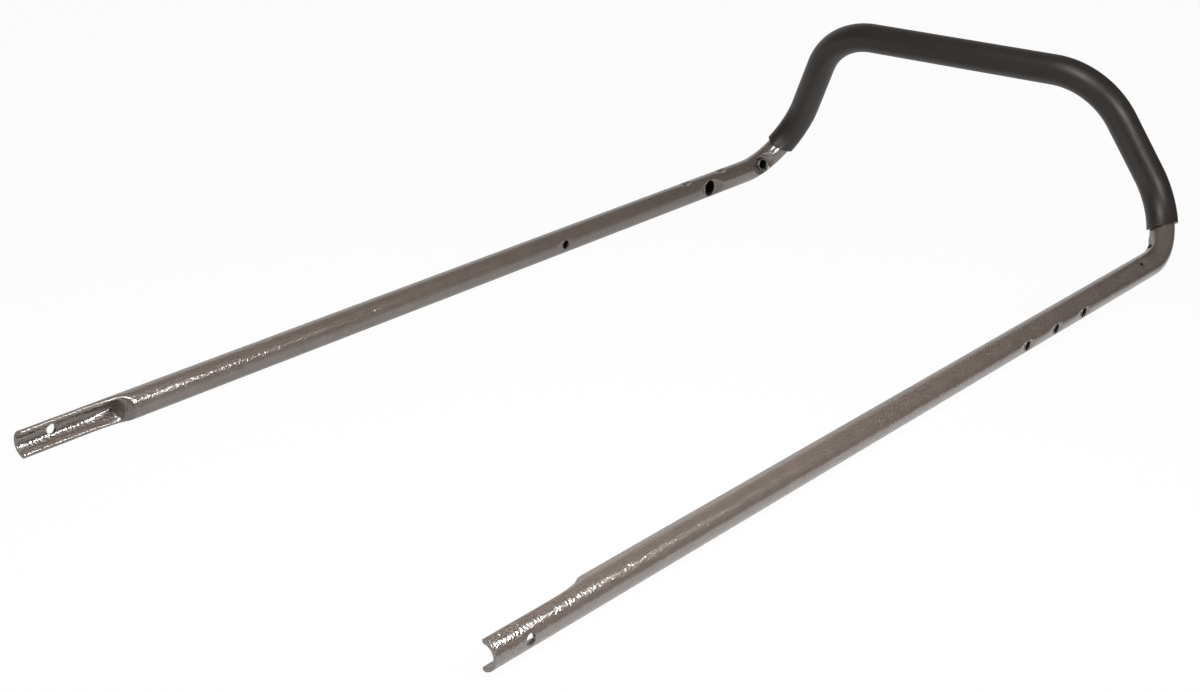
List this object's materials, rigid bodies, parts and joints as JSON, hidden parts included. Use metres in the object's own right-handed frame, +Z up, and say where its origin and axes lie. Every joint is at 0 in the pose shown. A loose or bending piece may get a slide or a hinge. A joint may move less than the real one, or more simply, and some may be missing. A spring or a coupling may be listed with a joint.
{
  "type": "lawn mower handle",
  "caption": "Upper handle of a walk-behind mower: a bent steel tube with cupped, bolted leg ends, a raised loop and a soft grip sleeve over it.",
  "frame": {"origin": "middle of the footprint, at the level of the ground that the legs lie on", "axes": "X across the handle, +Y along the legs towards the grip, +Z up, the way the loop rises"},
  "size_m": [0.5314, 1.0758, 0.2007],
  "materials": {
    "tube_paint": "hammered taupe powder coat, semi-gloss",
    "grip_rubber": "smooth dark brown satin skin"
  },
  "bodies": {
    "root": {"handle_tube": "tube_paint", "grip_sleeve": "grip_rubber"}
  },
  "joints": []
}
